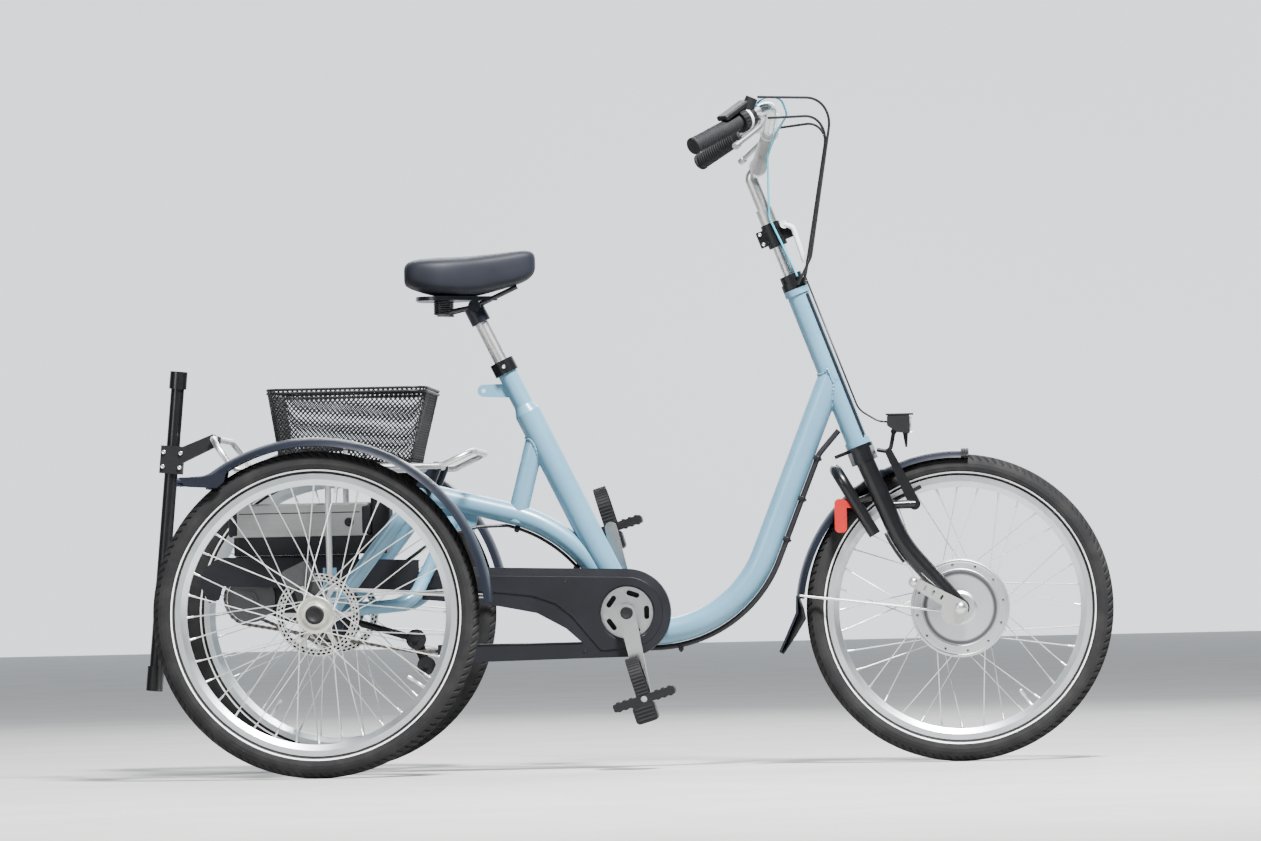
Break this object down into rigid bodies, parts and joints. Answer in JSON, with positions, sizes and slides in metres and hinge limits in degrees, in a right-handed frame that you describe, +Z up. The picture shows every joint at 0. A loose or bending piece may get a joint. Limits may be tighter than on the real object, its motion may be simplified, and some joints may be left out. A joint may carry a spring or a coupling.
{
  "type": "electric adult tricycle",
  "caption": "Step-through electric tricycle with a hub-motor front wheel, twin rear wheels, rear basket, battery and walking-stick holder.",
  "frame": {"origin": "on the ground, in the middle of the tricycle's length and width", "axes": "+X forward, +Y to the rider's left, +Z up"},
  "size_m": [1.885, 0.744, 1.2995],
  "materials": {
    "frame_paint": "satin",
    "black_paint": "satin",
    "black_plastic": "matte",
    "case_plastic": "satin",
    "tyre_rubber": "matte",
    "grip_rubber": "matte",
    "rim_metal": "satin",
    "bright_steel": "satin",
    "motor_metal": "satin",
    "alloy": "satin",
    "lever_grey": "satin",
    "key_red": "gloss",
    "saddle_vinyl": "satin",
    "lens": "clear"
  },
  "bodies": {
    "frame": {"head_tube": "frame_paint", "down_tube": "frame_paint", "seat_tube": "frame_paint", "arch_tube": "frame_paint", "axle_housing": "frame_paint", "rear_hoop": "frame_paint", "lower_stays": "frame_paint", "rear_guards": "black_paint", "hub_plates": "black_paint", "carrier_brackets": "black_paint", "stick_tube": "black_paint", "basket": "black_paint", "differential": "black_paint", "seat_collar": "black_paint", "saddle_frame": "black_paint", "battery_dock": "black_plastic", "stick_clamp": "black_plastic", "frame_cables": "black_plastic", "tensioner": "black_plastic", "chain_case": "case_plastic", "rear_hood": "case_plastic", "carrier": "bright_steel", "guard_rods": "bright_steel", "seat_post": "bright_steel", "chains": "bright_steel", "gear_hub": "bright_steel", "calipers": "alloy", "battery": "alloy", "saddle": "saddle_vinyl"},
    "steering": {"fork": "black_paint", "front_axle": "bright_steel", "head_rings": "black_paint", "column": "bright_steel", "quick_lever": "lever_grey", "column_clamp": "black_paint", "stem": "bright_steel", "handlebar": "bright_steel", "grips": "grip_rubber", "shifter": "black_plastic", "brake_levers": "alloy", "front_guard": "black_paint", "guard_stays": "bright_steel", "rim_brake": "black_paint", "ring_lock": "black_paint", "lock_key": "key_red", "headlamp": "black_plastic", "lamp_lens": "lens", "bar_cables": "black_plastic"},
    "front_wheel": {"front_tyre": "tyre_rubber", "front_rim": "rim_metal", "front_hub": "motor_metal"},
    "rear_wheel_right": {"rear_right_tyre": "tyre_rubber", "rear_right_rim": "rim_metal", "rear_right_hub": "bright_steel"},
    "rear_wheel_left": {"rear_left_tyre": "tyre_rubber", "rear_left_rim": "rim_metal", "rear_left_hub": "bright_steel"},
    "crank": {"crankset": "bright_steel"},
    "pedal_right": {"pedal_right": "black_plastic"},
    "pedal_left": {"pedal_left": "black_plastic"}
  },
  "joints": [
    {"name": "steering_turn", "type": "hinge", "parent": "frame", "child": "steering", "pos_m": [0.45146, 0, 0.62], "axis": [-0.3518, 0, 0.9361], "range_deg": [-45, 45]},
    {"name": "front_wheel_spin", "type": "hinge", "parent": "steering", "child": "front_wheel", "pos_m": [0.64246, 0, 0.3], "axis": [0, 1, 0], "continuous": true},
    {"name": "rear_wheel_right_spin", "type": "hinge", "parent": "frame", "child": "rear_wheel_right", "pos_m": [-0.59454, -0.325, 0.314], "axis": [0, 1, 0], "continuous": true},
    {"name": "rear_wheel_left_spin", "type": "hinge", "parent": "frame", "child": "rear_wheel_left", "pos_m": [-0.59454, 0.325, 0.314], "axis": [0, 1, 0], "continuous": true},
    {"name": "crank_spin", "type": "hinge", "parent": "frame", "child": "crank", "pos_m": [-0.00654, 0, 0.304], "axis": [0, 1, 0], "continuous": true},
    {"name": "pedal_right_spin", "type": "hinge", "parent": "crank", "child": "pedal_right", "pos_m": [0.02706, -0.162, 0.13735], "axis": [0, 1, 0], "continuous": true},
    {"name": "pedal_left_spin", "type": "hinge", "parent": "crank", "child": "pedal_left", "pos_m": [-0.04014, 0.162, 0.47065], "axis": [0, 1, 0], "continuous": true}
  ]
}
